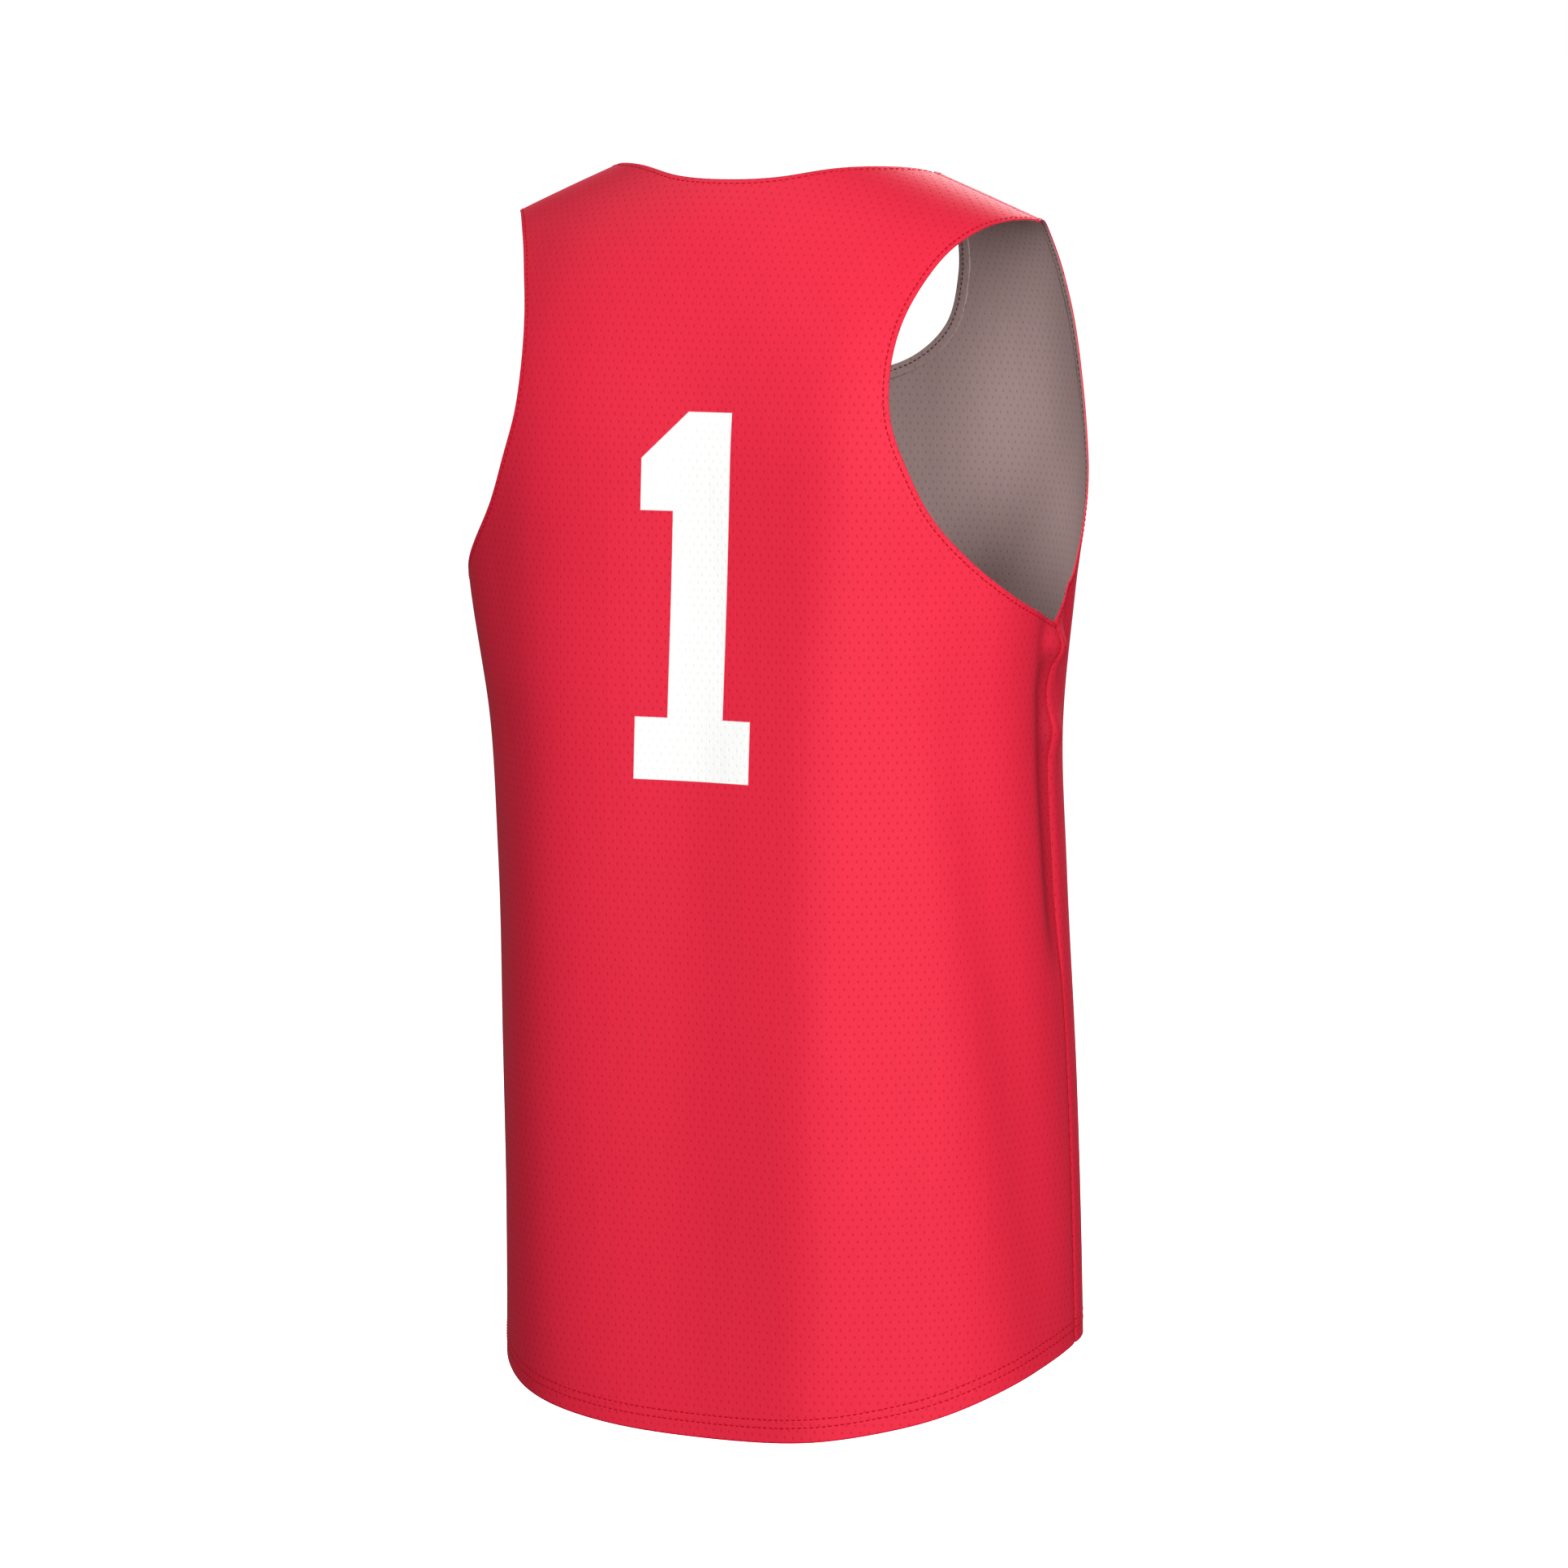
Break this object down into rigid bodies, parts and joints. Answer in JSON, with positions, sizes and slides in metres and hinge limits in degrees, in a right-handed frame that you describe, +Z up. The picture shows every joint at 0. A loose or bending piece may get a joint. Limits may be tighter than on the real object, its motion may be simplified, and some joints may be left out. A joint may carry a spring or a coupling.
{
  "type": "sleeveless field hockey jersey",
  "caption": "Hollow sleeveless mesh knit sports jersey in its worn shape, round neck, deep armholes, drop-tail hem, block numeral on the back.",
  "frame": {"origin": "midway between the two neck points, where the wearer's shoulders hold the jersey up", "axes": "+X to the wearer's left, +Y out of the wearer's back, +Z up from the hem to the neck"},
  "size_m": [0.3596, 0.2365, 0.7297],
  "materials": {
    "back_panel": "red polyester mesh knit, matt with a slight sheen, white numeral dyed into it",
    "front_panel": "red polyester mesh knit, matt with a slight sheen, rose-grey on its wrong side"
  },
  "bodies": {
    "root": {"back_panel": "back_panel", "front_panel": "front_panel"}
  },
  "joints": []
}
